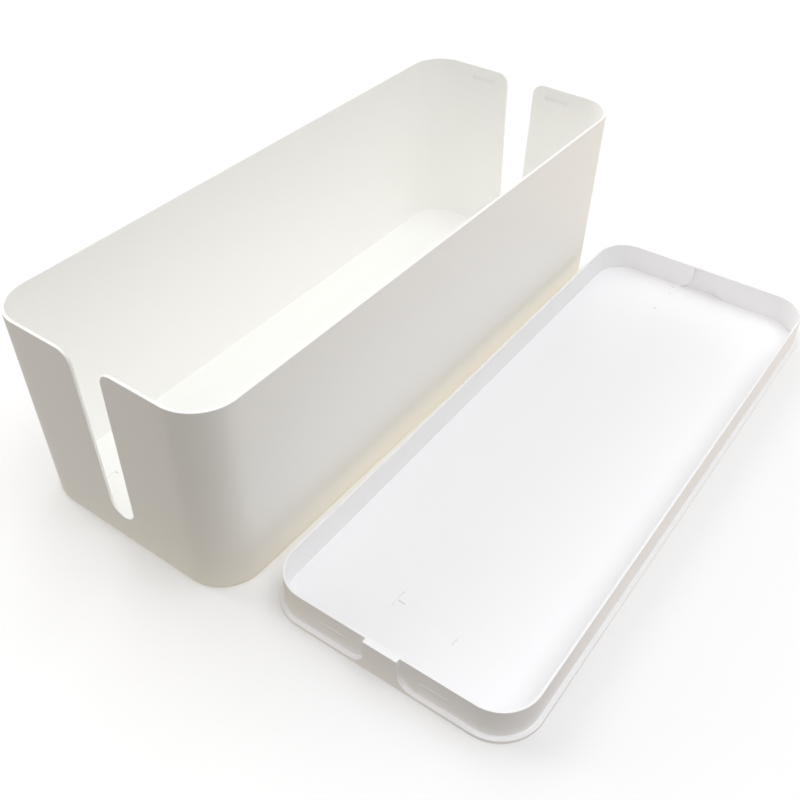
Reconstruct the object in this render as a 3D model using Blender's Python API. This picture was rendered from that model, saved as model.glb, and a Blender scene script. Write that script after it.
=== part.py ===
"""Cable tray: a long open box with a cable slot in each end, and the lid that closes it.

Metres, +Z up. X runs along the tray and Z = 0 is the surface that everything stands on.
The lid has been lifted off: it lies upside down in front of the tray, on the -Y side.
The origin is the centre of the footprint of the tray and the lid together.
"""
import math

import bmesh
import bpy
from mathutils import Vector

# The outline that the tray's rim and the lid's plate share
LENGTH = 0.407
WIDTH = 0.157
CORNER_R = 0.0255
CORNER_STEPS = 8  # straight pieces in each round corner

# Tray moulding
TRAY_HEIGHT = 0.1294  # underside to rim
DRAFT = 0.003  # how far each wall leans out between the underside and the rim
WALL = 0.002
FLOOR = 0.0022

# Cable slot, in each end of the tray
SLOT_HALF_TOP = 0.0112
SLOT_HALF_LOW = 0.009  # also the radius of the slot's round bottom
SLOT_BOTTOM = 0.0174  # lowest point of the slot, above the underside
FLARE_R = 0.0085  # the round between the slot's sides and the rim
FLARE_STEPS = 6
FLARE_START = math.radians(6)  # the round stops this far short of lying along the rim

# Lid moulding
PLATE = 0.0023
LEDGE = 0.0027  # the plate stands out past the rim wall by this much, all round
RIM_WALL = 0.0015
RIM_HEIGHT = 0.0196  # how far the rim wall reaches into the tray
TAB_CLEARANCE = 0.0005  # between a tab and the sides of its slot
TAB_WALL = 0.0015
TAB_LIP = 0.0012  # thickness of the lip that closes the hollow behind a tab
HOLLOW_START = math.radians(20)

# Snap ridges on the lid, and the grooves in the tray that they click into
SNAP_OFFSET = 0.031  # centre of a snap, to each side of the slot
SNAP_DEPTH = 0.0093  # centre of a snap, below the tray's rim
GROOVE_LENGTH = 0.0195
GROOVE_HEIGHT = 0.0046
GROOVE_DEPTH = 0.0007
RIDGE_LENGTH = 0.0185
RIDGE_HEIGHT = 0.0036
RIDGE_PROUD = 0.00045
SNAP_STEPS = 6

# Anti-slip feet, stuck in shallow round seats in the tray's underside
FOOT_R = 0.0055
FOOT_PROUD = 0.001
FOOT_EDGE = 0.0005
FOOT_INSET = 0.022  # centre of a foot, in from the underside's edges
FOOT_SIDES = 32
SEAT_R = 0.0059
SEAT_DEPTH = 0.0005

GAP = 0.0003  # between pieces that touch
REACH = 0.003  # how far a cutter runs past the surface that it cuts

# Where the lid lies, from the centre of the tray
LID_ASIDE = Vector((0.0146, -0.1642))
LID_TURN = math.radians(0.92)


def rounded_outline(half_x, half_y, radius):
    """Points around a rectangle with round corners, anticlockwise from its +X side."""
    points = []
    for quarter in range(4):
        sign_x = 1 if quarter in (0, 3) else -1
        sign_y = 1 if quarter in (0, 1) else -1
        for step in range(CORNER_STEPS + 1):
            angle = (quarter + step / CORNER_STEPS) * math.pi / 2
            x = sign_x * (half_x - radius) + radius * math.cos(angle)
            y = sign_y * (half_y - radius) + radius * math.sin(angle)
            points.append((x, y))
    return points


def shared_outline(inset=0.0):
    """The rim's outline, moved in by an even distance."""
    return rounded_outline(LENGTH / 2 - inset, WIDTH / 2 - inset, CORNER_R - inset)


def wall_outline(height, inset=0.0):
    """The tray's wall at a height above its underside: it leans out, and its corners keep their radius."""
    lean = DRAFT * (1 - height / TRAY_HEIGHT)
    radius = CORNER_R - inset
    return rounded_outline(LENGTH / 2 - lean - inset, WIDTH / 2 - lean - inset, radius)


def loft(rings):
    """A closed mesh through rings of equal count, each given as (outline, z)."""
    mesh = bmesh.new()
    loops = [[mesh.verts.new((x, y, z)) for x, y in outline] for outline, z in rings]
    count = len(loops[0])
    for low, high in zip(loops, loops[1:]):
        for i in range(count):
            j = (i + 1) % count
            mesh.faces.new((low[i], low[j], high[j], high[i]))
    mesh.faces.new(list(reversed(loops[0])))
    mesh.faces.new(loops[-1])
    return mesh


def prism(profile, low, high, place):
    """A closed mesh: a flat profile swept from low to high. place(a, b, t) gives a point's position."""
    mesh = bmesh.new()
    start = [mesh.verts.new(place(a, b, low)) for a, b in profile]
    end = [mesh.verts.new(place(a, b, high)) for a, b in profile]
    count = len(profile)
    for i in range(count):
        j = (i + 1) % count
        mesh.faces.new((start[i], start[j], end[j], end[i]))
    mesh.faces.new(list(reversed(start)))
    mesh.faces.new(end)
    bmesh.ops.recalc_face_normals(mesh, faces=mesh.faces[:])
    return mesh


def along_x(y, z, x):
    return (x, y, z)


def along_y(x, z, y):
    return (x, y, z)


def plastic(name, color, roughness):
    material = bpy.data.materials.new(name)
    material.use_nodes = True
    shader = material.node_tree.nodes["Principled BSDF"]
    shader.inputs["Base Color"].default_value = (*color, 1.0)
    shader.inputs["Roughness"].default_value = roughness
    shader.inputs["Metallic"].default_value = 0.0
    return material


def new_object(name, mesh, material=None, parent=None):
    """Turn a bmesh into an object in the scene."""
    data = bpy.data.meshes.new(name)
    mesh.to_mesh(data)
    mesh.free()
    data.shade_smooth()
    data.set_sharp_from_angle(angle=math.radians(30))
    if material:
        data.materials.append(material)
    made = bpy.data.objects.new(name, data)
    bpy.context.collection.objects.link(made)
    made.parent = parent
    return made


def boolean(target, name, mesh, operation):
    """Cut a tool mesh from the target, or join it on. The tool stays in the scene as a wire guide."""
    tool = new_object(name, mesh, parent=target)
    tool.hide_render = True
    tool.display_type = "WIRE"
    modifier = target.modifiers.new(name, "BOOLEAN")
    modifier.operation = operation
    modifier.object = tool
    modifier.solver = "EXACT"


def slot_half_width(depth):
    """Half the slot's width at a depth below the rim: its straight sides draw in towards the bottom."""
    side_height = TRAY_HEIGHT - SLOT_BOTTOM - SLOT_HALF_LOW
    return SLOT_HALF_TOP + (SLOT_HALF_LOW - SLOT_HALF_TOP) * depth / side_height


def flared_side(half_lip, half_end, depth, radius, start):
    """One side of a slot or tab as (half width, depth), flared to the rim's level at depth 0."""
    points = []
    for step in range(FLARE_STEPS + 1):
        turn = start + (math.pi / 2 - start) * step / FLARE_STEPS
        points.append((half_lip + radius * (1 - math.sin(turn)), radius * (1 - math.cos(turn))))
    points.append((half_end, depth))
    return points


def run_past_rim(side):
    """The side with one more point, straight on past depth 0 by the slope of the flare's first piece."""
    (wide, shallow), (_, deeper) = side[0], side[1]
    slope = math.tan(FLARE_START)
    past = (wide + REACH, shallow - REACH * slope)
    return [past] + side


def both_sides(side, bottom=()):
    """A closed (y, depth) profile: one side down, the bottom across, and its mirror image back up."""
    down = [(-half, depth) for half, depth in side]
    back = [(half, depth) for half, depth in reversed(side)]
    return down + list(bottom) + back


def slot_profile():
    """The slot as (y, depth below the rim), with its mouth open above the rim."""
    round_depth = TRAY_HEIGHT - SLOT_BOTTOM - SLOT_HALF_LOW
    half_lip = slot_half_width(FLARE_R)
    side = run_past_rim(flared_side(half_lip, SLOT_HALF_LOW, round_depth, FLARE_R, FLARE_START))
    steps = 2 * FLARE_STEPS
    bottom = []
    for step in range(1, steps):
        angle = math.pi * step / steps
        bottom.append((-SLOT_HALF_LOW * math.cos(angle), round_depth + SLOT_HALF_LOW * math.sin(angle)))
    mouth = [(side[0][0], -REACH)]
    return both_sides(mouth + side, bottom)


def tab_profile():
    """A tab as (y, depth past the ledge). It fills the slot's mouth, less its clearance."""
    half_lip = slot_half_width(FLARE_R) - TAB_CLEARANCE
    half_end = slot_half_width(RIM_HEIGHT) - TAB_CLEARANCE
    return both_sides(run_past_rim(flared_side(half_lip, half_end, RIM_HEIGHT, FLARE_R, FLARE_START)))


def hollow_profile():
    """The hollow behind a tab as (y, depth past the plate), closed by a thin lip at the tab's end."""
    half_lip = slot_half_width(FLARE_R) - TAB_CLEARANCE - TAB_WALL
    half_end = slot_half_width(RIM_HEIGHT) - TAB_CLEARANCE - TAB_WALL
    side = flared_side(half_lip, half_end, RIM_HEIGHT - TAB_LIP, FLARE_R + TAB_WALL, HOLLOW_START)
    return both_sides([(side[0][0], 0.0)] + side)


def snap_profile(height, bulge, backing):
    """A shallow round bulge as (out, up), on a flat backing that lies below the surface."""
    radius = (height ** 2 / 4 + bulge ** 2) / (2 * bulge)
    half_angle = math.asin(height / 2 / radius)
    points = [(-backing, -height / 2)]
    for step in range(SNAP_STEPS + 1):
        angle = half_angle * (2 * step / SNAP_STEPS - 1)
        points.append((radius * math.cos(angle) - radius + bulge, radius * math.sin(angle)))
    points.append((-backing, height / 2))
    return points


def snap(end, wall_x, z, side, length, profile):
    """A snap's tool: the profile stands out from the end wall at wall_x and runs along Y."""
    shape = [(end * (wall_x + out), z + up) for out, up in profile]
    middle = side * SNAP_OFFSET
    return prism(shape, middle - length / 2, middle + length / 2, along_y)


def make_tray(material, place):
    """The tray: a leaning wall around a floor, with a slot, two grooves and two foot seats at each end."""
    rings = [
        (wall_outline(0.0), 0.0),
        (wall_outline(TRAY_HEIGHT), TRAY_HEIGHT),
        (wall_outline(TRAY_HEIGHT, WALL), TRAY_HEIGHT),
        (wall_outline(FLOOR, WALL), FLOOR),
    ]
    tray = new_object("tray", loft(rings), material)
    tray.location = place
    slot = [(y, TRAY_HEIGHT - depth) for y, depth in slot_profile()]
    snap_z = TRAY_HEIGHT - SNAP_DEPTH
    wall_x = LENGTH / 2 - WALL - DRAFT * SNAP_DEPTH / TRAY_HEIGHT
    groove = snap_profile(GROOVE_HEIGHT, GROOVE_DEPTH, REACH)
    for end, end_name in ((-1, "near"), (1, "far")):
        inner, outer = sorted((end * (LENGTH / 2 - 2 * CORNER_R), end * (LENGTH / 2 + REACH)))
        boolean(tray, f"slot_cutter_{end_name}", prism(slot, inner, outer, along_x), "DIFFERENCE")
        for side, side_name in ((-1, "front"), (1, "back")):
            tool = snap(end, wall_x, snap_z, side, GROOVE_LENGTH, groove)
            boolean(tray, f"groove_cutter_{end_name}_{side_name}", tool, "DIFFERENCE")
            x, y = foot_place(end, side)
            seat = cylinder(SEAT_R, x, y, -REACH, SEAT_DEPTH)
            boolean(tray, f"seat_cutter_{end_name}_{side_name}", seat, "DIFFERENCE")
    return tray


def foot_place(end, side):
    """The centre of a foot, from the centre of the tray."""
    return (end * (LENGTH / 2 - DRAFT - FOOT_INSET), side * (WIDTH / 2 - DRAFT - FOOT_INSET))


def circle(radius, x, y):
    turns = [2 * math.pi * i / FOOT_SIDES for i in range(FOOT_SIDES)]
    return [(x + radius * math.cos(turn), y + radius * math.sin(turn)) for turn in turns]


def cylinder(radius, x, y, low, high):
    return loft([(circle(radius, x, y), low), (circle(radius, x, y), high)])


def make_foot(name, material, place):
    """An anti-slip disc with a small chamfer round the face that it stands on."""
    top = FOOT_PROUD + SEAT_DEPTH - GAP
    rings = [
        (circle(FOOT_R - FOOT_EDGE, 0, 0), 0.0),
        (circle(FOOT_R, 0, 0), FOOT_EDGE),
        (circle(FOOT_R, 0, 0), top),
    ]
    foot = new_object(name, loft(rings), material)
    foot.location = place
    return foot


def make_lid(material, place):
    """The lid, upside down: a plate with a rim wall, and a tab and two snap ridges at each end."""
    top = PLATE + RIM_HEIGHT
    rings = [
        (shared_outline(), 0.0),
        (shared_outline(), PLATE),
        (shared_outline(LEDGE), PLATE),
        (shared_outline(LEDGE), top),
        (shared_outline(LEDGE + RIM_WALL), top),
        (shared_outline(LEDGE + RIM_WALL), PLATE),
    ]
    lid = new_object("lid", loft(rings), material)
    lid.location = place
    lid.rotation_euler.z = LID_TURN
    tab = [(y, PLATE + depth) for y, depth in tab_profile()]
    hollow = [(y, PLATE + depth) for y, depth in hollow_profile()]
    outer_face = LENGTH / 2
    inner_face = LENGTH / 2 - LEDGE - RIM_WALL
    ridge = snap_profile(RIDGE_HEIGHT, RIDGE_PROUD, RIM_WALL / 2)
    for end, end_name in ((-1, "near"), (1, "far")):
        low, high = sorted((end * inner_face, end * outer_face))
        boolean(lid, f"tab_{end_name}", prism(tab, low, high, along_x), "UNION")
        low, high = sorted((end * (inner_face - REACH), end * (outer_face - TAB_WALL)))
        boolean(lid, f"hollow_cutter_{end_name}", prism(hollow, low, high, along_x), "DIFFERENCE")
        for side, side_name in ((-1, "front"), (1, "back")):
            tool = snap(end, LENGTH / 2 - LEDGE, PLATE + SNAP_DEPTH, side, RIDGE_LENGTH, ridge)
            boolean(lid, f"ridge_{end_name}_{side_name}", tool, "UNION")
    return lid


def turned_half_extents():
    """Half the lid's extent along X and Y as it lies, a little turned."""
    straight_x = LENGTH / 2 - CORNER_R
    straight_y = WIDTH / 2 - CORNER_R
    along, across = math.cos(LID_TURN), math.sin(LID_TURN)
    half_x = straight_x * along + straight_y * across + CORNER_R
    half_y = straight_x * across + straight_y * along + CORNER_R
    return Vector((half_x, half_y))


def tray_centre():
    """Where the tray's centre lies, so that the origin is the centre of the whole footprint."""
    tray_half = Vector((LENGTH / 2, WIDTH / 2))
    lid_half = turned_half_extents()
    middle = Vector((0.0, 0.0))
    for axis in (0, 1):
        low = min(-tray_half[axis], LID_ASIDE[axis] - lid_half[axis])
        high = max(tray_half[axis], LID_ASIDE[axis] + lid_half[axis])
        middle[axis] = (low + high) / 2
    return -middle


def main():
    for old in list(bpy.data.objects):
        bpy.data.objects.remove(old, do_unlink=True)
    tray_plastic = plastic("tray_plastic", (0.83, 0.82, 0.78), 0.38)
    lid_plastic = plastic("lid_plastic", (0.84, 0.83, 0.81), 0.38)
    centre = tray_centre()
    make_tray(tray_plastic, (centre.x, centre.y, FOOT_PROUD))
    for end, end_name in ((-1, "near"), (1, "far")):
        for side, side_name in ((-1, "front"), (1, "back")):
            rubber = plastic(f"rubber_{end_name}_{side_name}", (0.20, 0.20, 0.20), 0.75)
            x, y = foot_place(end, side)
            make_foot(f"foot_{end_name}_{side_name}", rubber, (centre.x + x, centre.y + y, 0.0))
    lid_centre = centre + LID_ASIDE
    make_lid(lid_plastic, (lid_centre.x, lid_centre.y, 0.0))


main()
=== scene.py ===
"""Looks for the cable tray and its lid: finely finished mouldings, rubber feet and a plain white studio."""
import math

import bmesh
import bpy
from mathutils import Matrix, Vector


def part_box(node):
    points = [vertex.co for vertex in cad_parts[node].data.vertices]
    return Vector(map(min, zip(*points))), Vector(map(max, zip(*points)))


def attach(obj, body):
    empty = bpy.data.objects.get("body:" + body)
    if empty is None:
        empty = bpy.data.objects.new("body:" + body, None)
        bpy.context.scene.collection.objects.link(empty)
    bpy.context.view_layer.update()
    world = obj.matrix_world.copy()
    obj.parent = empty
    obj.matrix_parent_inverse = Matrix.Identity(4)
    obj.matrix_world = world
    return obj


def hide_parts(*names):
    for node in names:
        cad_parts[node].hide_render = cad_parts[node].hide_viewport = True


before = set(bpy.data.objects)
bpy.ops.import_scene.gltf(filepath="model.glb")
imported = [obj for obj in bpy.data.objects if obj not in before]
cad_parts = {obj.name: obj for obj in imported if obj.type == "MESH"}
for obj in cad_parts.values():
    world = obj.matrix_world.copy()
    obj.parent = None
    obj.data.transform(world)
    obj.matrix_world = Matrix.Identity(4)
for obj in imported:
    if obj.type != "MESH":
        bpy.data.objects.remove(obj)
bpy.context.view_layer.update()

MM = 0.001

# Sizes of the CAD pieces, repeated from part.py, in metres
LENGTH = 407 * MM
WIDTH = 157 * MM
CORNER_R = 25.5 * MM
TRAY_HEIGHT = 129.4 * MM
DRAFT = 3 * MM
WALL = 2 * MM
FLOOR = 2.2 * MM
SLOT_HALF_TOP = 11.2 * MM
SLOT_HALF_LOW = 9 * MM  # also the radius of a slot's round bottom
SLOT_BOTTOM = 17.4 * MM  # lowest point of a slot, above the underside
FLARE_R = 8.5 * MM  # the round between a slot's sides and the rim
FLARE_START = math.radians(6)  # the round stops this far short of lying along the rim
PLATE = 2.3 * MM
LEDGE = 2.7 * MM  # the plate stands out past the rim wall by this much
RIM_WALL = 1.5 * MM
RIM_HEIGHT = 19.6 * MM
TAB_CLEARANCE = 0.5 * MM
TAB_WALL = 1.5 * MM
TAB_LIP = 1.2 * MM  # thickness of the lip that closes the hollow behind a tab
HOLLOW_START = math.radians(20)
SNAP_OFFSET = 31 * MM  # centre of a snap, to each side of the slot
SNAP_DEPTH = 9.3 * MM  # centre of a snap, below the tray's rim
FOOT_R = 5.5 * MM
FOOT_EDGE = 0.5 * MM
FOOT_INSET = 22 * MM  # centre of a foot, in from the underside's edges
SEAT_R = 5.9 * MM
SEAT_DEPTH = 0.5 * MM
LID_TURN = math.radians(0.92)  # how far the lid lies turned, beside the tray

# How finely the round parts are divided
CORNER_STEPS = 24
FLARE_STEPS = 14
SNAP_STEPS = 6
FINE_STEPS = 3
EDGE_STEPS = 4
SMOOTH_STEPS = 5
DISC_SIDES = 48

# The snaps: grooves in the tray and ridges on the lid, as length, height and depth
GROOVE_SIZE = (19.5 * MM, 4.6 * MM, 1.2 * MM)
RIDGE_SIZE = (18.5 * MM, 3.6 * MM, 0.35 * MM)
GROOVE_PEAK = 0.85  # where up its height a groove is deepest, so that its top edge is steep
RIDGE_PEAK = 0.5
SNAP_END = 1.6 * MM  # the length over which a snap dies away at each end
SNAP_SKIN = 0.12 * MM  # a snap's border lies this far inward of the wall's face, where it leaves no trace

# Edge rounds: the tray's rim, wall foot and base, then the lid's plate, walls and ledge
RIM_EDGE = 0.42 * MM
FLOOR_FILLET = 1.1 * MM
BASE_EDGE = 0.9 * MM
PLATE_EDGE = 0.5 * MM
LID_EDGE = 0.3 * MM
LEDGE_EDGE = 0.6 * MM
SHARP_FROM = math.radians(25)  # an edge is rounded if it turns more than this
RIM_SHARP_FROM = math.radians(40)  # the same, for the tray's rim and slots

# Where the rounded shapes run into each other
SLOT_RISE = 0.3 * MM  # how far a slot's flared sides run on past the rim
TAB_RISE = 0.64 * MM  # how far a tab's flared sides run on, into the ledge's rounded edge
TAB_SINK = 0.95 * MM  # how far into the plate a tab's foot reaches
HOLLOW_FOOT = 3.5 * MM  # up to this height above the plate, a hollow's flare is too thin to be rounded
HOLLOW_REACH = 20 * MM  # half the width of the end wall's middle, which holds the hollow and its flare

# Marks that the mould leaves. A lifter is a loose block of the mould that frees an undercut. Its outline
# shows as a fine line on the floor, open towards the end wall. It is given as its inner x, from the centre,
# and half its width.
TRAY_LIFTER = (171.5 * MM, 44.4 * MM)
LID_LIFTER = (160.5 * MM, 19.8 * MM)
SEAM = (0.22 * MM, 0.05 * MM)  # width and depth of a lifter's outline
FLASH = (0.85 * MM, 1.1 * MM)  # width and depth of a torn spot
# Where the torn spots on the lifters' outlines run from and to, in mm
TRAY_FLASHES = [((-177.0, 44.4), (-170.6, 44.4)), ((-171.5, 44.7), (-171.5, 42.4))]
LID_FLASHES = [
    ((-160.5, 20.0), (-160.5, 14.8)),
    ((-165.0, 19.8), (-154.0, 19.8)),
    ((-168.0, -19.5), (-163.2, -19.5)),
    ((159.8, 20.4), (163.4, 20.4)),
    ((185.0, 19.6), (186.2, 19.6)),
    ((194.0, 20.2), (195.4, 20.2)),
]
GATE = (0.3 * MM, -1.0 * MM)  # the injection point: a round dimple with a low nub in it
GATE_STEPS = [(1.9, 3.0), (1.9, 0.0), (1.5, -0.22), (1.0, -0.22), (0.7, -0.04)]  # radius and height, mm
PIN = (-62.8 * MM, 29.4 * MM)  # an ejector pin's print in the lid
PIN_R = 2.1 * MM
PIN_DEPTH = 0.05 * MM

# Limits for the mesh work
OVERSHOOT = 3 * MM  # how far a cutting tool reaches past what it cuts
TINY = 0.002 * MM  # points closer than this are merged
LEVEL = 0.01 * MM  # points this close in height lie on one level
FLAT = math.radians(0.02)  # faces that turn less than this are merged
CREASE = math.radians(38)  # edges that turn more than this are shaded sharp
FACE_PULL = 80  # how much more the large faces shape the shading, from 1 to 100, where 50 is even


# ---------------------------------------------------------------- outlines

def rounded_outline(half_x, half_y, radius):
    """Points around a rectangle with round corners, anticlockwise from its +X side."""
    points = []
    for quarter in range(4):
        sign_x = 1 if quarter in (0, 3) else -1
        sign_y = 1 if quarter in (0, 1) else -1
        for step in range(CORNER_STEPS + 1):
            angle = (quarter + step / CORNER_STEPS) * math.pi / 2
            x = sign_x * (half_x - radius) + radius * math.cos(angle)
            y = sign_y * (half_y - radius) + radius * math.sin(angle)
            points.append((x, y))
    return points


def shared_outline(inset=0.0):
    """The outline of the tray's rim and the lid's plate, moved in by an even distance."""
    return rounded_outline(LENGTH / 2 - inset, WIDTH / 2 - inset, CORNER_R - inset)


def inside(co, inset):
    """Whether a point lies within the shared outline moved in by that distance."""
    past_x = max(abs(co.x) - (LENGTH / 2 - CORNER_R), 0.0)
    past_y = max(abs(co.y) - (WIDTH / 2 - CORNER_R), 0.0)
    return math.hypot(past_x, past_y) < CORNER_R - inset


def wall_outline(height, inset=0.0):
    """The tray's leaning wall at a height above its underside."""
    lean = DRAFT * (1 - height / TRAY_HEIGHT)
    return rounded_outline(LENGTH / 2 - lean - inset, WIDTH / 2 - lean - inset, CORNER_R - inset)


def slot_half_width(depth):
    """Half the slot's width at a depth below the rim."""
    side_height = TRAY_HEIGHT - SLOT_BOTTOM - SLOT_HALF_LOW
    return SLOT_HALF_TOP + (SLOT_HALF_LOW - SLOT_HALF_TOP) * depth / side_height


def flared_side(half_lip, half_end, depth, radius, start):
    """One side of a slot or tab as (half width, depth), flared to the rim's level at depth 0."""
    points = []
    for step in range(FLARE_STEPS + 1):
        turn = start + (math.pi / 2 - start) * step / FLARE_STEPS
        points.append((half_lip + radius * (1 - math.sin(turn)), radius * (1 - math.cos(turn))))
    points.append((half_end, depth))
    return points


def run_past_rim(side, rise):
    """The side with one more point, straight on past depth 0 by that much."""
    wide, shallow = side[0]
    return [(wide + (shallow + rise) / math.tan(FLARE_START), -rise)] + side


def both_sides(side, bottom=()):
    """A closed (y, depth) profile: one side down, the bottom across, and its mirror image back up."""
    return [(-half, depth) for half, depth in side] + list(bottom) + list(reversed(side))


def slot_profile():
    """The slot as (y, depth below the rim), open above the rim."""
    round_depth = TRAY_HEIGHT - SLOT_BOTTOM - SLOT_HALF_LOW
    side = flared_side(slot_half_width(FLARE_R), SLOT_HALF_LOW, round_depth, FLARE_R, FLARE_START)
    side = run_past_rim(side, SLOT_RISE)
    steps = 2 * FLARE_STEPS
    bottom = []
    for step in range(1, steps):
        angle = math.pi * step / steps
        bottom.append((-SLOT_HALF_LOW * math.cos(angle), round_depth + SLOT_HALF_LOW * math.sin(angle)))
    return both_sides([(side[0][0], -OVERSHOOT)] + side, bottom)


def tab_profile():
    """A tab as (y, depth past the ledge)."""
    half_lip = slot_half_width(FLARE_R) - TAB_CLEARANCE
    half_end = slot_half_width(RIM_HEIGHT) - TAB_CLEARANCE
    side = run_past_rim(flared_side(half_lip, half_end, RIM_HEIGHT, FLARE_R, FLARE_START), TAB_RISE)
    return both_sides([(side[0][0], -TAB_SINK)] + side)


def hollow_profile():
    """The hollow behind a tab as (y, depth past the plate)."""
    half_lip = slot_half_width(FLARE_R) - TAB_CLEARANCE - TAB_WALL
    half_end = slot_half_width(RIM_HEIGHT) - TAB_CLEARANCE - TAB_WALL
    side = flared_side(half_lip, half_end, RIM_HEIGHT - TAB_LIP, FLARE_R + TAB_WALL, HOLLOW_START)
    return both_sides([(side[0][0], 0.0)] + side)


def snap_profile(height, bulge, peak):
    """A soft bulge as (out, up), which stands out furthest at that part of its height."""
    points = []
    for step in range(2 * SNAP_STEPS + 1):
        turn = step / SNAP_STEPS
        swell = (1 - math.cos(math.pi * turn)) / 2
        share = peak * turn if turn < 1 else peak + (1 - peak) * (turn - 1)
        points.append((bulge * swell, height * (share - 0.5)))
    return points


def circle(radius, x=0.0, y=0.0):
    turns = [2 * math.pi * i / DISC_SIDES for i in range(DISC_SIDES)]
    return [(x + radius * math.cos(turn), y + radius * math.sin(turn)) for turn in turns]


# ---------------------------------------------------------------- meshes

def skin(sections):
    """A closed mesh through sections of equal count, each a ring of points."""
    mesh = bmesh.new()
    loops = [[mesh.verts.new(point) for point in section] for section in sections]
    count = len(loops[0])
    for low, high in zip(loops, loops[1:]):
        for i in range(count):
            j = (i + 1) % count
            mesh.faces.new((low[i], low[j], high[j], high[i]))
    mesh.faces.new(list(reversed(loops[0])))
    mesh.faces.new(loops[-1])
    bmesh.ops.recalc_face_normals(mesh, faces=mesh.faces[:])
    return mesh


def loft(rings):
    """A closed mesh through level rings, each given as (outline, z)."""
    return skin([[(x, y, z) for x, y in outline] for outline, z in rings])


def prism(profile, low, high, place):
    """A closed mesh: a flat profile swept from low to high. place(a, b, t) gives a point's position."""
    return skin([[place(a, b, t) for a, b in profile] for t in (low, high)])


def stroke(start, end, width):
    """The outline of a straight stroke of even width."""
    start, end = Vector(start), Vector(end)
    aside = (end - start).orthogonal().normalized() * width / 2
    return [tuple(start - aside), tuple(end - aside), tuple(end + aside), tuple(start + aside)]


def lifter_outline(inner_x, outer_x, half_width, line):
    """A line of even width around three sides of a rectangle that is open at outer_x."""
    near, far = half_width - line / 2, half_width + line / 2
    back = inner_x - math.copysign(line / 2, outer_x)
    front = inner_x + math.copysign(line / 2, outer_x)
    return [
        (back, -far), (outer_x, -far), (outer_x, -near), (front, -near),
        (front, near), (outer_x, near), (outer_x, far), (back, far),
    ]


def pressed_in(outline, level, depth):
    """A tool that sinks an outline into a floor at that level."""
    return (prism(outline, level - depth, level + OVERSHOOT, along_z), "DIFFERENCE")


def along_x(y, z, x):
    return (x, y, z)


def along_z(x, y, z):
    return (x, y, z)


def new_object(name, mesh):
    data = bpy.data.meshes.new(name)
    mesh.to_mesh(data)
    mesh.free()
    made = bpy.data.objects.new(name, data)
    bpy.context.collection.objects.link(made)
    return made


def carve(name, body, tools):
    """The body's mesh after each tool, a (mesh, operation) pair, has been cut from it or joined on.

    Faces that then lie in one plane are merged.
    """
    target = new_object(name, body)
    helpers = []
    for i, (mesh, operation) in enumerate(tools):
        helper = new_object(f"{name}_tool_{i}", mesh)
        helpers.append(helper)
        modifier = target.modifiers.new(helper.name, "BOOLEAN")
        modifier.operation = operation
        modifier.object = helper
        modifier.solver = "EXACT"
    graph = bpy.context.evaluated_depsgraph_get()
    carved = bmesh.new()
    carved.from_mesh(target.evaluated_get(graph).to_mesh())
    for spent in helpers + [target]:
        bpy.data.objects.remove(spent, do_unlink=True)
    bmesh.ops.dissolve_limit(carved, angle_limit=FLAT, verts=carved.verts[:], edges=carved.edges[:])
    return carved


def sharp_edges(mesh, wanted, least=SHARP_FROM):
    """The edges that turn more than that angle and whose two ends both pass the test."""
    return [
        edge
        for edge in mesh.edges
        if edge.is_manifold
        and edge.calc_face_angle(0.0) > least
        and wanted(edge.verts[0].co)
        and wanted(edge.verts[1].co)
    ]


def round_edges(mesh, edges, width, segments=FINE_STEPS):
    bmesh.ops.bevel(
        mesh,
        geom=edges,
        offset=width,
        offset_type="OFFSET",
        segments=segments,
        profile=0.5,  # a round one
        affect="EDGES",
        clamp_overlap=False,
    )


def underside_of(node):
    """The middle of the underside of a CAD node's box."""
    low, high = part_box(node)
    centre = (low + high) / 2
    return (centre.x, centre.y, low.z)


def finish_piece(name, mesh, material, body, node, turn=0.0):
    """Make a mesh the piece that stands for a CAD node, where that node lies.

    The mesh stands on its own origin, and is turned about its upright axis.
    """
    bmesh.ops.dissolve_degenerate(mesh, dist=TINY, edges=mesh.edges[:])
    bmesh.ops.rotate(mesh, matrix=Matrix.Rotation(turn, 3, "Z"), verts=mesh.verts[:])
    bmesh.ops.recalc_face_normals(mesh, faces=mesh.faces[:])
    for edge in mesh.edges:
        edge.smooth = edge.calc_face_angle(0.0) < CREASE
    piece = new_object(name, mesh)
    for face in piece.data.polygons:
        face.use_smooth = True
    piece.data.materials.append(material)
    even = piece.modifiers.new("even_shading", "WEIGHTED_NORMAL")
    even.weight = FACE_PULL
    even.keep_sharp = True
    piece.location = underside_of(node)
    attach(piece, body)
    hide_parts(node)


# ---------------------------------------------------------------- materials

# Each plastic's colour and the slightly deeper one that mottles it, and the rubber's dark and dusty ones
TRAY_TINTS = ((0.950, 0.947, 0.925), (0.940, 0.937, 0.915))
LID_TINTS = ((0.949, 0.943, 0.951), (0.939, 0.933, 0.941))
RUBBER_TINTS = ((0.030, 0.030, 0.031), (0.046, 0.045, 0.044))
PLASTIC_ROUGHNESS = (0.36, 0.46)
RUBBER_ROUGHNESS = (0.62, 0.8)
PLASTIC_IOR = 1.49
NOISE_RANGE = (0.3, 0.7)  # most of a noise's values lie between these

# Patterns in the materials, as cells in a metre
MOTTLING = 650
GLOSS_PATCHES = 90
RIPPLE = 420
GRAIN = 2600
BLOOM = 500
DULL_PATCHES = 900
PEBBLES = 3000

# How high the raised patterns stand
RIPPLE_HEIGHT = 0.006 * MM
GRAIN_HEIGHT = 0.012 * MM
PEBBLE_HEIGHT = 0.02 * MM


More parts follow.
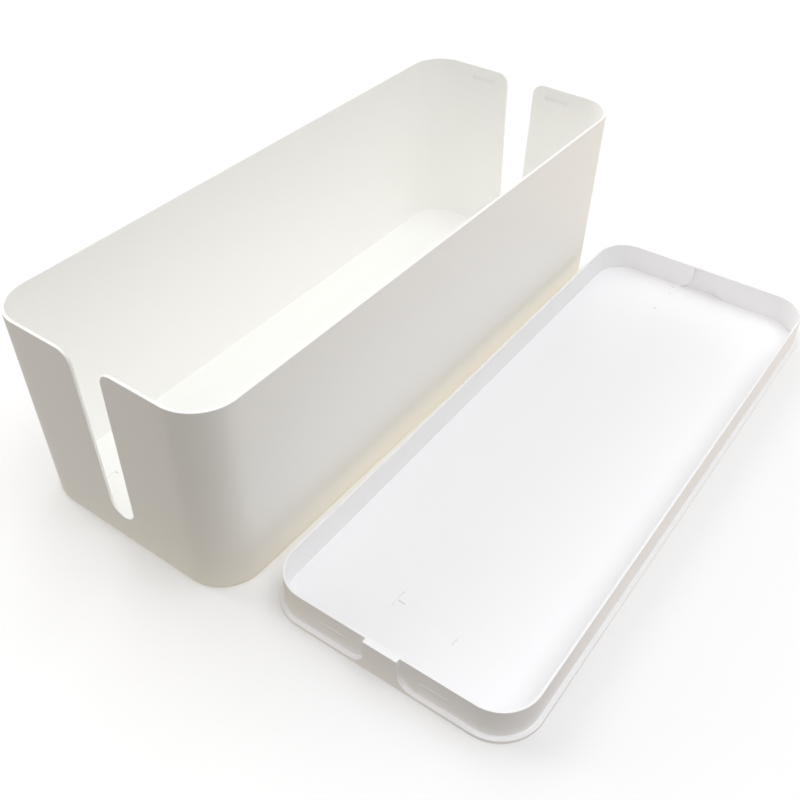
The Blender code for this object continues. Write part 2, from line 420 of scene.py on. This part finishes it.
def remap(tree, value, source, target=(0.0, 1.0)):
    """A socket that carries the value moved from one range, as (low, high), into another."""
    moved = tree.nodes.new("ShaderNodeMapRange")
    moved.inputs["From Min"].default_value, moved.inputs["From Max"].default_value = source
    moved.inputs["To Min"].default_value, moved.inputs["To Max"].default_value = target
    tree.links.new(value, moved.inputs["Value"])
    return moved.outputs["Result"]


def noise_between(tree, per_metre, low, high, detail=2.0):
    """A socket that carries noise, with that many cells in a metre, spread between two values."""
    place = tree.nodes.new("ShaderNodeTexCoord")
    noise = tree.nodes.new("ShaderNodeTexNoise")
    noise.inputs["Scale"].default_value = per_metre
    noise.inputs["Detail"].default_value = detail
    tree.links.new(place.outputs["Object"], noise.inputs["Vector"])
    return remap(tree, noise.outputs["Fac"], NOISE_RANGE, (low, high))


def tint_between(tree, factor, one, other):
    """A socket that carries a colour between two, by the factor. Each is a colour or a socket."""
    mix = tree.nodes.new("ShaderNodeMix")
    mix.data_type = "RGBA"
    inputs = {socket.identifier: socket for socket in mix.inputs}
    outputs = {socket.identifier: socket for socket in mix.outputs}
    for name, color in (("A_Color", one), ("B_Color", other)):
        if isinstance(color, tuple):
            inputs[name].default_value = (*color, 1.0)
        else:
            tree.links.new(color, inputs[name])
    tree.links.new(factor, inputs["Factor_Float"])
    return outputs["Result_Color"]


def raise_by(tree, height, tallest, under=None):
    """A normal for a surface raised by the height socket, which at 1 stands tallest metres up."""
    bump = tree.nodes.new("ShaderNodeBump")
    bump.inputs["Strength"].default_value = 1.0
    bump.inputs["Distance"].default_value = tallest
    tree.links.new(height, bump.inputs["Height"])
    if under:
        tree.links.new(under, bump.inputs["Normal"])
    return bump.outputs["Normal"]


def new_shader(name):
    material = bpy.data.materials.new(name)
    material.use_nodes = True
    return material, material.node_tree, material.node_tree.nodes["Principled BSDF"]


def moulded_plastic(name, pale, deep):
    """Satin plastic: faint mottling in its colour, patchy gloss, and the grain of a spark-finished mould."""
    material, tree, shader = new_shader(name)
    mottling = noise_between(tree, MOTTLING, 0.0, 1.0, detail=4.0)
    tree.links.new(tint_between(tree, mottling, pale, deep), shader.inputs["Base Color"])
    gloss = noise_between(tree, GLOSS_PATCHES, *PLASTIC_ROUGHNESS, detail=3.0)
    tree.links.new(gloss, shader.inputs["Roughness"])
    ripple = raise_by(tree, noise_between(tree, RIPPLE, 0.0, 1.0), RIPPLE_HEIGHT)
    grain = raise_by(tree, noise_between(tree, GRAIN, 0.0, 1.0), GRAIN_HEIGHT, ripple)
    tree.links.new(grain, shader.inputs["Normal"])
    shader.inputs["IOR"].default_value = PLASTIC_IOR
    return material


def rubber(name, dark, dusty):
    """Soft matt rubber with a dusty bloom and a fine pebbled skin."""
    material, tree, shader = new_shader(name)
    bloom = noise_between(tree, BLOOM, 0.0, 1.0, detail=4.0)
    tree.links.new(tint_between(tree, bloom, dark, dusty), shader.inputs["Base Color"])
    dullness = noise_between(tree, DULL_PATCHES, *RUBBER_ROUGHNESS)
    tree.links.new(dullness, shader.inputs["Roughness"])
    pebbles = raise_by(tree, noise_between(tree, PEBBLES, 0.0, 1.0), PEBBLE_HEIGHT)
    tree.links.new(pebbles, shader.inputs["Normal"])
    return material


# ---------------------------------------------------------------- pieces

def snap_tool(end, side, wall_x, z, size, peak, backing):
    """A snap's tool: a bulge of (length, height, depth) that stands out from the end wall at wall_x.

    It reaches inward from there by the backing.
    """
    length, height, bulge = size
    shape = snap_profile(height, bulge + SNAP_SKIN, peak)
    edge_x = wall_x - SNAP_SKIN
    back_x = wall_x - backing
    growing = [math.pi / 2 * step / SNAP_STEPS for step in range(SNAP_STEPS + 1)]
    low_end = [(-length / 2 + SNAP_END * (1 - math.cos(turn)), math.sin(turn)) for turn in growing]
    high_end = [(-along, strength) for along, strength in reversed(low_end)]
    sections = []
    for along, strength in low_end + high_end:
        y = side * SNAP_OFFSET + along
        section = [(end * (edge_x + out * strength), y, z + up) for out, up in shape]
        section.append((end * back_x, y, z + height / 2))
        section.append((end * back_x, y, z - height / 2))
        sections.append(section)
    return skin(sections)


def on_snap(co, z):
    """Whether a point lies on one of the snaps at that height."""
    length, height, _ = GROOVE_SIZE
    along = abs(abs(co.y) - SNAP_OFFSET)
    return along < length / 2 + SNAP_SKIN and abs(co.z - z) < height / 2 + SNAP_SKIN


def floor_marks(level, wall, lifter, flashes):
    """The tools for the marks on a floor: two lifters' outlines, and the torn spots on them."""
    inner_x, half_width = lifter
    line, depth = SEAM
    tools = []
    for end in (-1, 1):
        outline = lifter_outline(end * inner_x, end * (wall - line), half_width, line)
        tools.append(pressed_in(outline, level, depth))
    width, depth = FLASH
    for start, end in flashes:
        outline = stroke(Vector(start) * MM, Vector(end) * MM, width)
        tools.append(pressed_in(outline, level, depth))
    return tools


def gate_mark(level):
    """The tool for the injection point in a floor at that level."""
    rings = [(circle(radius * MM, *GATE), level + height * MM) for radius, height in reversed(GATE_STEPS)]
    return (loft(rings), "DIFFERENCE")


def make_tray(material):
    rings = [
        (wall_outline(0.0), 0.0),
        (wall_outline(TRAY_HEIGHT), TRAY_HEIGHT),
        (wall_outline(TRAY_HEIGHT, WALL), TRAY_HEIGHT),
        (wall_outline(FLOOR, WALL), FLOOR),
    ]
    slot = [(y, TRAY_HEIGHT - depth) for y, depth in slot_profile()]
    snap_z = TRAY_HEIGHT - SNAP_DEPTH
    wall_x = LENGTH / 2 - WALL - DRAFT * SNAP_DEPTH / TRAY_HEIGHT
    tools = []
    for end in (-1, 1):
        inner, outer = sorted((end * (LENGTH / 2 - 2 * CORNER_R), end * (LENGTH / 2 + OVERSHOOT)))
        tools.append((prism(slot, inner, outer, along_x), "DIFFERENCE"))
        for side in (-1, 1):
            groove = snap_tool(end, side, wall_x, snap_z, GROOVE_SIZE, GROOVE_PEAK, OVERSHOOT)
            tools.append((groove, "DIFFERENCE"))
            seat = circle(SEAT_R, *foot_place(end, side))
            tools.append((loft([(seat, -OVERSHOOT), (seat, SEAT_DEPTH)]), "DIFFERENCE"))
    inner_x, inner_y = LENGTH / 2 - DRAFT - WALL, WIDTH / 2 - DRAFT - WALL
    tools += floor_marks(FLOOR, inner_x - FLOOR_FILLET, TRAY_LIFTER, TRAY_FLASHES)
    mesh = carve("tray_tool", loft(rings), tools)
    inner_r = CORNER_R - WALL
    seats = [Vector(foot_place(end, side)) for end in (-1, 1) for side in (-1, 1)]

    def on_rim_or_slot(co):
        return co.z > FLOOR + FLOOR_FILLET and not on_snap(co, snap_z)

    def at_wall_foot(co):
        in_corner = abs(co.x) > inner_x - inner_r and abs(co.y) > inner_y - inner_r
        beside_wall = abs(co.x) > inner_x - FLOOR_FILLET / 2 or abs(co.y) > inner_y - FLOOR_FILLET / 2
        return abs(co.z - FLOOR) < LEVEL and (in_corner or beside_wall)

    def on_base(co):
        return abs(co.z) < LEVEL and min((co.xy - seat).length for seat in seats) > SEAT_R + TINY

    round_edges(mesh, sharp_edges(mesh, on_rim_or_slot, RIM_SHARP_FROM), RIM_EDGE)
    round_edges(mesh, sharp_edges(mesh, at_wall_foot), FLOOR_FILLET, SMOOTH_STEPS)
    round_edges(mesh, sharp_edges(mesh, on_base), BASE_EDGE, EDGE_STEPS)
    finish_piece("tray_shell", mesh, material, "tray_body", "tray")


def foot_place(end, side):
    """The centre of a foot, from the centre of the tray."""
    return (end * (LENGTH / 2 - DRAFT - FOOT_INSET), side * (WIDTH / 2 - DRAFT - FOOT_INSET))


def make_lid(material):
    top = PLATE + RIM_HEIGHT
    rings = [(shared_outline(), 0.0)]
    for step in range(EDGE_STEPS + 1):
        turn = math.pi / 2 * step / EDGE_STEPS
        inset, drop = LEDGE_EDGE * (1 - math.cos(turn)), LEDGE_EDGE * (1 - math.sin(turn))
        rings.append((shared_outline(inset), PLATE - drop))
    rings += [
        (shared_outline(LEDGE), PLATE),
        (shared_outline(LEDGE), top),
        (shared_outline(LEDGE + RIM_WALL), top),
        (shared_outline(LEDGE + RIM_WALL), PLATE),
    ]
    tab = [(y, PLATE + depth) for y, depth in tab_profile()]
    hollow = [(y, PLATE + depth) for y, depth in hollow_profile()]
    snap_z = PLATE + SNAP_DEPTH
    wall_x = LENGTH / 2 - LEDGE
    inner_face = wall_x - RIM_WALL
    tools = []
    for end in (-1, 1):
        low, high = sorted((end * inner_face, end * LENGTH / 2))
        tools.append((prism(tab, low, high, along_x), "UNION"))
        low, high = sorted((end * (inner_face - OVERSHOOT), end * (LENGTH / 2 - TAB_WALL)))
        tools.append((prism(hollow, low, high, along_x), "DIFFERENCE"))
        for side in (-1, 1):
            ridge = snap_tool(end, side, wall_x, snap_z, RIDGE_SIZE, RIDGE_PEAK, RIM_WALL / 2)
            tools.append((ridge, "UNION"))
    tools += floor_marks(PLATE, inner_face - LID_EDGE, LID_LIFTER, LID_FLASHES)
    tools.append(gate_mark(PLATE))
    tools.append(pressed_in(circle(PIN_R, *PIN), PLATE, PIN_DEPTH))
    mesh = carve("lid_tool", loft(rings), tools)

    def can_be_rounded(co):
        within_walls = inside(co, LEDGE + RIM_WALL / 2)
        on_floor = within_walls and co.z < PLATE + LEVEL
        in_flare = within_walls and co.z < PLATE + HOLLOW_FOOT and abs(co.y) < HOLLOW_REACH
        clear = not on_floor and not in_flare and not on_snap(co, snap_z)
        return clear and co.z > PLATE - LEVEL

    def under_plate(co):
        return co.z < LEVEL

    round_edges(mesh, sharp_edges(mesh, can_be_rounded), LID_EDGE)
    round_edges(mesh, sharp_edges(mesh, under_plate), PLATE_EDGE, SMOOTH_STEPS)
    finish_piece("lid_shell", mesh, material, "lid_body", "lid", LID_TURN)


def make_foot(node, material):
    low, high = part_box(node)
    rings = [
        (circle(FOOT_R - FOOT_EDGE), 0.0),
        (circle(FOOT_R), FOOT_EDGE),
        (circle(FOOT_R), high.z - low.z),
    ]
    finish_piece(f"{node}_pad", loft(rings), material, "tray_body", node)


# ---------------------------------------------------------------- studio

# The camera's place, aim and lens, found by matching the object's outlines in perspective
CAMERA_AZIMUTH = math.radians(-53.80)
CAMERA_ELEVATION = math.radians(40.31)
CAMERA_ROLL = math.radians(0.354)
CAMERA_DISTANCE = 680.2 * MM
CAMERA_AIM = Vector((0.4, -40.6, 0.0)) * MM  # from the tray's centre, on the floor
CAMERA_LENS = 45.86
CAMERA_SHIFT_Y = -0.0224
CAMERA_RANGE = (0.01, 20.0)  # the nearest and farthest that it sees


def make_camera():
    data = bpy.data.cameras.new("camera")
    data.lens = CAMERA_LENS
    data.shift_y = CAMERA_SHIFT_Y
    data.clip_start, data.clip_end = CAMERA_RANGE
    camera = bpy.data.objects.new("camera", data)
    bpy.context.collection.objects.link(camera)
    back = Vector((
        math.sin(CAMERA_AZIMUTH) * math.cos(CAMERA_ELEVATION),
        -math.cos(CAMERA_AZIMUTH) * math.cos(CAMERA_ELEVATION),
        math.sin(CAMERA_ELEVATION),
    ))
    tray_x, tray_y, _ = underside_of("tray")
    aim = Vector((tray_x, tray_y, 0.0)) + CAMERA_AIM
    camera.location = aim + back * CAMERA_DISTANCE
    turn = (-back).to_track_quat("-Z", "Y").to_matrix() @ Matrix.Rotation(CAMERA_ROLL, 3, "Z")
    camera.rotation_euler = turn.to_euler()
    bpy.context.scene.camera = camera


WARM = (1.0, 0.962, 0.905)
COOL = (0.930, 0.955, 1.0)
WHITE = (1.0, 1.0, 1.0)
CREAM = (1.0, 0.91, 0.82)
AMBER = (1.0, 0.88, 0.66)
# Soft lamps far away: degrees anticlockwise from +X, degrees up, strength and colour
LAMPS = [
    (270, 65, 0.95, COOL),
    (0, 65, 0.4, COOL),
    (180, 40, 0.45, WHITE),
    (45, 40, 0.45, COOL),
    (90, 40, 0.55, WHITE),
    (315, 40, 0.15, COOL),
    (90, 18, 0.9, WARM),
    (315, 18, 0.15, WARM),
]
LAMP_SPREAD = math.radians(40)
SKY_STRENGTH = 0.32
BACKDROP_STRENGTH = 1.0
PAPER_COLOR = (0.94, 0.94, 0.94)
PAPER_ROUGHNESS = 0.9
PAPER_REACH = 4.0  # the paper floor reaches this far to each side
# The light that the floor sends up, in three rows along X: a row's place along Y, its colour, and its
# strengths, evenly spaced between the two ends of GLOW_X
GLOW_X = (-0.3, 0.3)
GLOW_ROWS = [
    (-0.17, CREAM, (0.05, 0.8, 0.85, 1.1)),
    (0.0, AMBER, (0.25, 0.8, 0.9, 1.1)),
    (0.22, CREAM, (0.5, 0.3, 0.3, 0.6)),
]
BOUNCES = 12  # how often light may bounce between the white walls


def make_lamps():
    for turn, height, strength, tint in LAMPS:
        data = bpy.data.lights.new("lamp", "SUN")
        data.energy = strength
        data.color = tint
        data.angle = LAMP_SPREAD
        lamp = bpy.data.objects.new("lamp", data)
        turn, height = math.radians(turn), math.radians(height)
        level = math.cos(height)
        out = Vector((math.cos(turn) * level, math.sin(turn) * level, math.sin(height)))
        lamp.rotation_euler = out.to_track_quat("Z", "Y").to_euler()
        bpy.context.collection.objects.link(lamp)


def make_sky(scene):
    """A dim even sky to light the object, in front of a plain white backdrop."""
    world = bpy.data.worlds.new("world")
    world.use_nodes = True
    tree = world.node_tree
    sky = tree.nodes["Background"]
    sky.inputs["Color"].default_value = (*WARM, 1.0)
    sky.inputs["Strength"].default_value = SKY_STRENGTH
    backdrop = tree.nodes.new("ShaderNodeBackground")
    backdrop.inputs["Color"].default_value = (*WHITE, 1.0)
    backdrop.inputs["Strength"].default_value = BACKDROP_STRENGTH
    join_by_ray(tree, sky, backdrop, tree.nodes["World Output"])
    scene.world = world


def join_by_ray(tree, to_the_object, to_the_camera, output):
    """Show one shader to the camera, and light the object with the other."""
    ray = tree.nodes.new("ShaderNodeLightPath")
    switch = tree.nodes.new("ShaderNodeMixShader")
    tree.links.new(ray.outputs["Is Camera Ray"], switch.inputs["Fac"])
    tree.links.new(to_the_object.outputs[0], switch.inputs[1])
    tree.links.new(to_the_camera.outputs[0], switch.inputs[2])
    tree.links.new(switch.outputs[0], output.inputs["Surface"])


def color_along(tree, share, tint, strengths):
    """A socket that carries the tint at one strength after the other, evenly spaced."""
    ramp = tree.nodes.new("ShaderNodeValToRGB")
    stops = ramp.color_ramp.elements
    for i in range(1, len(strengths) - 1):
        stops.new(i / (len(strengths) - 1))
    for stop, strength in zip(stops, strengths):
        stop.color = (*(strength * channel for channel in tint), 1.0)
    tree.links.new(share, ramp.inputs["Fac"])
    return ramp.outputs["Color"]


def make_floor():
    """White paper to the camera. The light that it sends to the object is dim at one end and at the back."""
    grid = bmesh.new()
    bmesh.ops.create_grid(grid, x_segments=1, y_segments=1, size=PAPER_REACH)
    floor = new_object("floor", grid)
    material, tree, paper = new_shader("floor_paper")
    paper.inputs["Base Color"].default_value = (*PAPER_COLOR, 1.0)
    paper.inputs["Roughness"].default_value = PAPER_ROUGHNESS
    place = tree.nodes.new("ShaderNodeTexCoord")
    split = tree.nodes.new("ShaderNodeSeparateXYZ")
    tree.links.new(place.outputs["Object"], split.inputs["Vector"])
    share_x = remap(tree, split.outputs["X"], GLOW_X)
    last_y, tint, strengths = GLOW_ROWS[0]
    light = color_along(tree, share_x, tint, strengths)
    for y, tint, strengths in GLOW_ROWS[1:]:
        share_y = remap(tree, split.outputs["Y"], (last_y, y))
        light = tint_between(tree, share_y, light, color_along(tree, share_x, tint, strengths))
        last_y = y
    glow = tree.nodes.new("ShaderNodeEmission")
    tree.links.new(light, glow.inputs["Color"])
    join_by_ray(tree, glow, paper, tree.nodes["Material Output"])
    floor.data.materials.append(material)


def make_studio():
    scene = bpy.context.scene
    scene.view_settings.view_transform = "Standard"
    scene.cycles.max_bounces = BOUNCES
    scene.cycles.diffuse_bounces = BOUNCES
    make_lamps()
    make_sky(scene)
    make_floor()


make_tray(moulded_plastic("tray_plastic_fine", *TRAY_TINTS))
make_lid(moulded_plastic("lid_plastic_fine", *LID_TINTS))
foot_rubber = rubber("foot_rubber_fine", *RUBBER_TINTS)
for node in ("foot_near_front", "foot_near_back", "foot_far_front", "foot_far_back"):
    make_foot(node, foot_rubber)
make_camera()
make_studio()
